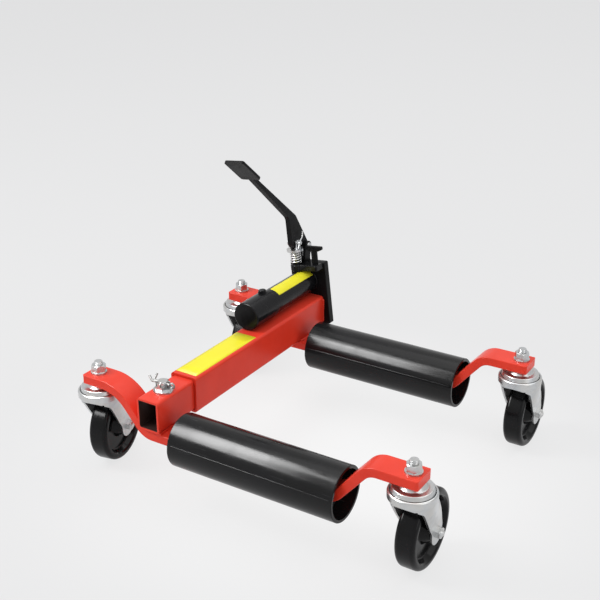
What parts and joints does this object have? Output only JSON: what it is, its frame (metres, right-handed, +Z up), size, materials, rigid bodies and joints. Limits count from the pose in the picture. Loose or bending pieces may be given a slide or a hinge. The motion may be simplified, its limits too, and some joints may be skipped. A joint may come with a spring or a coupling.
{
  "type": "hydraulic car mover",
  "caption": "Hydraulic wheel dolly on swivel casters: two roller arms on a telescopic tube close under a tyre when the foot pump is pressed, lifting the wheel so a car can be rolled sideways.",
  "frame": {"origin": "on the floor under the middle of the outline box", "axes": "x along the rollers with the open roller ends at +x, y along the telescopic tube with the pump at +y, z up"},
  "size_m": [0.5132, 0.4438, 0.3768],
  "materials": {
    "red_paint": "semi-gloss red enamel",
    "black_paint": "gloss black enamel",
    "roller_paint": "semi-gloss black",
    "wheel_black": "moulded gloss black",
    "zinc_plate": "bright zinc plate",
    "bare_steel": "ground steel",
    "bush_nylon": "black nylon",
    "seal_rubber": "nitrile"
  },
  "bodies": {
    "frame": {"rear_arm": "red_paint", "outer_tube": "red_paint", "rear_roller_bushes": "bush_nylon", "rear_king_bolts": "zinc_plate", "rear_king_nuts": "zinc_plate", "rear_ball_rows": "bare_steel", "rear_left_cup": "zinc_plate", "rear_right_cup": "zinc_plate", "end_plate": "black_paint", "pump_block": "black_paint", "block_screws": "zinc_plate", "reservoir_tube": "black_paint", "reservoir_cap": "black_paint", "filler_screw": "black_paint", "pedal_bracket": "black_paint", "pivot_pin": "zinc_plate", "plunger_spring": "zinc_plate", "ram_barrel": "bare_steel", "ram_gland": "bare_steel"},
    "slide": {"inner_tube": "red_paint", "front_arm": "red_paint", "arm_spacer": "red_paint", "hitch_bolt": "zinc_plate", "hitch_washer": "zinc_plate", "hitch_nut": "zinc_plate", "hitch_split_pin": "zinc_plate", "front_roller_bushes": "bush_nylon", "front_king_bolts": "zinc_plate", "front_king_nuts": "zinc_plate", "front_ball_rows": "bare_steel", "front_left_cup": "zinc_plate", "front_right_cup": "zinc_plate", "ram_rod": "bare_steel", "ram_piston": "bare_steel", "piston_seal": "seal_rubber"},
    "front_roller_body": {"front_roller": "roller_paint"},
    "rear_roller_body": {"rear_roller": "roller_paint"},
    "pedal": {"pedal_lever": "black_paint", "pedal_pad": "black_paint"},
    "pump_plunger": {"plunger": "zinc_plate", "clevis_pin": "zinc_plate"},
    "release": {"release_handle": "black_paint"},
    "front_left_caster": {"front_left_fork": "zinc_plate", "front_left_axle": "zinc_plate", "front_left_sleeve": "bare_steel"},
    "front_left_rolling": {"front_left_wheel": "wheel_black"},
    "front_right_caster": {"front_right_fork": "zinc_plate", "front_right_axle": "zinc_plate", "front_right_sleeve": "bare_steel"},
    "front_right_rolling": {"front_right_wheel": "wheel_black"},
    "rear_left_caster": {"rear_left_fork": "zinc_plate", "rear_left_axle": "zinc_plate", "rear_left_sleeve": "bare_steel"},
    "rear_left_rolling": {"rear_left_wheel": "wheel_black"},
    "rear_right_caster": {"rear_right_fork": "zinc_plate", "rear_right_axle": "zinc_plate", "rear_right_sleeve": "bare_steel"},
    "rear_right_rolling": {"rear_right_wheel": "wheel_black"}
  },
  "joints": [
    {"name": "arm_slide", "type": "slide", "parent": "frame", "child": "slide", "axis": [0, -1, 0], "range_m": [-0.024, 0.1]},
    {"name": "front_roller_spin", "type": "hinge", "parent": "slide", "child": "front_roller_body", "pos_m": [-0.09032, -0.18688, 0.0825], "axis": [1, 0, 0], "continuous": true},
    {"name": "rear_roller_spin", "type": "hinge", "parent": "frame", "child": "rear_roller_body", "pos_m": [-0.09032, 0.13952, 0.0825], "axis": [1, 0, 0], "continuous": true},
    {"name": "pedal_press", "type": "hinge", "parent": "frame", "child": "pedal", "pos_m": [-0.1508, 0.19972, 0.20962], "axis": [0.9925, 0, 0.1219], "range_deg": [0, 17], "stiffness_Nm_per_rad": 6, "springref_deg": -11.46},
    {"name": "plunger_stroke", "type": "slide", "parent": "frame", "child": "pump_plunger", "axis": [0.1219, 0, -0.9925], "range_m": [0, 0.0077], "deforming": ["plunger_spring"]},
    {"name": "release_turn", "type": "hinge", "parent": "frame", "child": "release", "pos_m": [-0.12058, 0.18442, 0.19167], "axis": [0.1219, 0, -0.9925], "range_deg": [0, 90]},
    {"name": "front_left_swivel", "type": "hinge", "parent": "slide", "child": "front_left_caster", "pos_m": [-0.22502, -0.18688, 0.1138], "axis": [0, 0, 1], "continuous": true},
    {"name": "front_left_roll", "type": "hinge", "parent": "front_left_caster", "child": "front_left_rolling", "pos_m": [-0.23113, -0.15547, 0.05], "axis": [0.9816, 0.1908, 0], "continuous": true},
    {"name": "front_right_swivel", "type": "hinge", "parent": "slide", "child": "front_right_caster", "pos_m": [0.22758, -0.18688, 0.1138], "axis": [0, 0, 1], "continuous": true},
    {"name": "front_right_roll", "type": "hinge", "parent": "front_right_caster", "child": "front_right_rolling", "pos_m": [0.22758, -0.15488, 0.05], "axis": [1, 0, 0], "continuous": true},
    {"name": "rear_left_swivel", "type": "hinge", "parent": "frame", "child": "rear_left_caster", "pos_m": [-0.22502, 0.13952, 0.1138], "axis": [0, 0, 1], "continuous": true},
    {"name": "rear_left_roll", "type": "hinge", "parent": "rear_left_caster", "child": "rear_left_rolling", "pos_m": [-0.22781, 0.1714, 0.05], "axis": [0.9962, 0.0872, 0], "continuous": true},
    {"name": "rear_right_swivel", "type": "hinge", "parent": "frame", "child": "rear_right_caster", "pos_m": [0.22758, 0.13952, 0.1138], "axis": [0, 0, 1], "continuous": true},
    {"name": "rear_right_roll", "type": "hinge", "parent": "rear_right_caster", "child": "rear_right_rolling", "pos_m": [0.22758, 0.17152, 0.05], "axis": [1, 0, 0], "continuous": true}
  ],
  "couplings": [
    {"joint": "plunger_stroke", "follows": "pedal_press", "m_per_rad": 0.025952}
  ]
}
